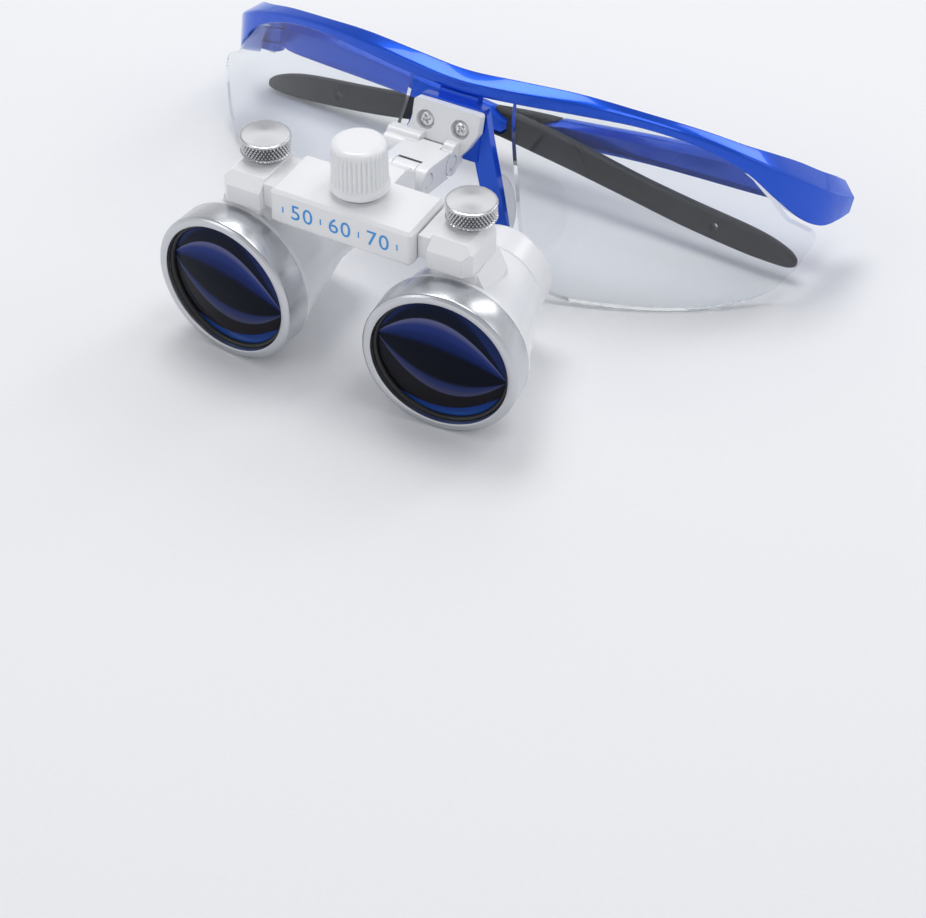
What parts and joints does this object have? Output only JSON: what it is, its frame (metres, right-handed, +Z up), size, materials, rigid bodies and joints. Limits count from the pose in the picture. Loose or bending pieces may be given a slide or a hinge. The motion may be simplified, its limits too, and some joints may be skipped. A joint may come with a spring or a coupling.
{
  "type": "dental loupes",
  "caption": "Flip-up surgical and dental loupes: twin magnifying barrels on a geared spacing bar, hinged to wraparound protective glasses with folding temples.",
  "frame": {"origin": "on the floor, at the middle of the part's footprint as it rests with the temples folded", "axes": "+X to the wearer's left, -Y forward the way the barrels look, +Z up; the part stands on the lower edges of its front rings and clear lenses"},
  "size_m": [0.165, 0.1068, 0.0581],
  "materials": {
    "blue_lacquer": "high gloss metallic blue lacquer over moulded plastic",
    "clear_lens": "clear polycarbonate, polished",
    "white_plastic": "white, satin gloss",
    "silver_metal": "silver anodised, turned",
    "steel": "nickel plated, knurled or turned",
    "brass": "turned",
    "dark_rubber": "soft matt dark grey",
    "clear_rubber": "soft translucent silicone",
    "objective_glass": "coated optical glass, deep blue reflection",
    "eyepiece_glass": "coated optical glass",
    "black_plastic": "matt black"
  },
  "bodies": {
    "frame": {"front_frame": "blue_lacquer", "lens_right": "clear_lens", "lens_left": "clear_lens", "nose_fork": "blue_lacquer", "nose_pad_right": "clear_rubber", "nose_pad_left": "clear_rubber", "temple_hinge_screw_right": "steel", "temple_hinge_screw_left": "steel", "frame_bracket": "white_plastic", "bracket_screws": "steel", "upper_hinge_pin": "white_plastic", "upper_pin_cap": "white_plastic"},
    "link": {"flip_link": "white_plastic", "lower_hinge_pin": "white_plastic", "lower_pin_cap": "white_plastic"},
    "loupe_body": {"centre_housing": "white_plastic", "housing_cover": "white_plastic", "cover_screws": "steel"},
    "knob": {"pd_knob": "white_plastic", "pinion_shaft": "brass"},
    "temple_arm_right": {"temple_right": "blue_lacquer", "temple_tip_right": "dark_rubber"},
    "arm_right": {"rack_arm_right": "white_plastic", "saddle_right": "white_plastic"},
    "thumb_right": {"thumb_screw_right": "steel"},
    "barrel_right": {"front_ring_right": "silver_metal", "barrel_shell_right": "white_plastic", "objective_lens_right": "objective_glass", "baffle_sleeve_right": "black_plastic", "eyepiece_lens_right": "eyepiece_glass", "eyepiece_ring_right": "white_plastic"},
    "temple_arm_left": {"temple_left": "blue_lacquer", "temple_tip_left": "dark_rubber"},
    "arm_left": {"rack_arm_left": "white_plastic", "saddle_left": "white_plastic"},
    "thumb_left": {"thumb_screw_left": "steel"},
    "barrel_left": {"front_ring_left": "silver_metal", "barrel_shell_left": "white_plastic", "objective_lens_left": "objective_glass", "baffle_sleeve_left": "black_plastic", "eyepiece_lens_left": "eyepiece_glass", "eyepiece_ring_left": "white_plastic"}
  },
  "joints": [
    {"name": "temple_right_fold", "type": "hinge", "parent": "frame", "child": "temple_arm_right", "pos_m": [0.0736, 0.04614, 0.01771], "axis": [0, 0.2756, 0.9613], "range_deg": [-88, 0], "deforming": ["temple_tip_right"]},
    {"name": "temple_left_fold", "type": "hinge", "parent": "frame", "child": "temple_arm_left", "pos_m": [-0.0736, 0.04614, 0.01771], "axis": [0, 0.2756, 0.9613], "range_deg": [0, 92], "deforming": ["temple_tip_left"]},
    {"name": "link_tilt", "type": "hinge", "parent": "frame", "child": "link", "pos_m": [-0.0015, -0.0027, 0.033], "axis": [1, 0, 0], "range_deg": [-10, 12]},
    {"name": "loupe_flip", "type": "hinge", "parent": "link", "child": "loupe_body", "pos_m": [-0.0015, -0.01401, 0.035], "axis": [1, 0, 0], "range_deg": [-80, 6]},
    {"name": "pd_slide_right", "type": "slide", "parent": "loupe_body", "child": "arm_right", "axis": [1, 0, 0], "range_m": [0, 0.0105]},
    {"name": "pd_slide_left", "type": "slide", "parent": "loupe_body", "child": "arm_left", "axis": [-1, 0, 0], "range_m": [0, 0.0105]},
    {"name": "pd_knob_turn", "type": "hinge", "parent": "loupe_body", "child": "knob", "pos_m": [0, -0.03691, 0.05], "axis": [0, 0, 1], "range_deg": [0, 170]},
    {"name": "barrel_right_converge", "type": "hinge", "parent": "arm_right", "child": "barrel_right", "pos_m": [0.0255, -0.0339, 0.0374], "axis": [0, 0, 1], "range_deg": [-13.5, 4.5]},
    {"name": "thumb_screw_right_turn", "type": "hinge", "parent": "barrel_right", "child": "thumb_right", "pos_m": [0.0255, -0.0339, 0.045], "axis": [0, 0, 1], "range_deg": [0, 180]},
    {"name": "barrel_left_converge", "type": "hinge", "parent": "arm_left", "child": "barrel_left", "pos_m": [-0.0255, -0.0339, 0.0374], "axis": [0, 0, 1], "range_deg": [-4.5, 13.5]},
    {"name": "thumb_screw_left_turn", "type": "hinge", "parent": "barrel_left", "child": "thumb_left", "pos_m": [-0.0255, -0.0339, 0.045], "axis": [0, 0, 1], "range_deg": [0, 180]}
  ],
  "couplings": [
    {"joint": "pd_slide_left", "follows": "pd_slide_right", "ratio": 1},
    {"joint": "pd_knob_turn", "follows": "pd_slide_right", "rad_per_m": 277.78}
  ]
}
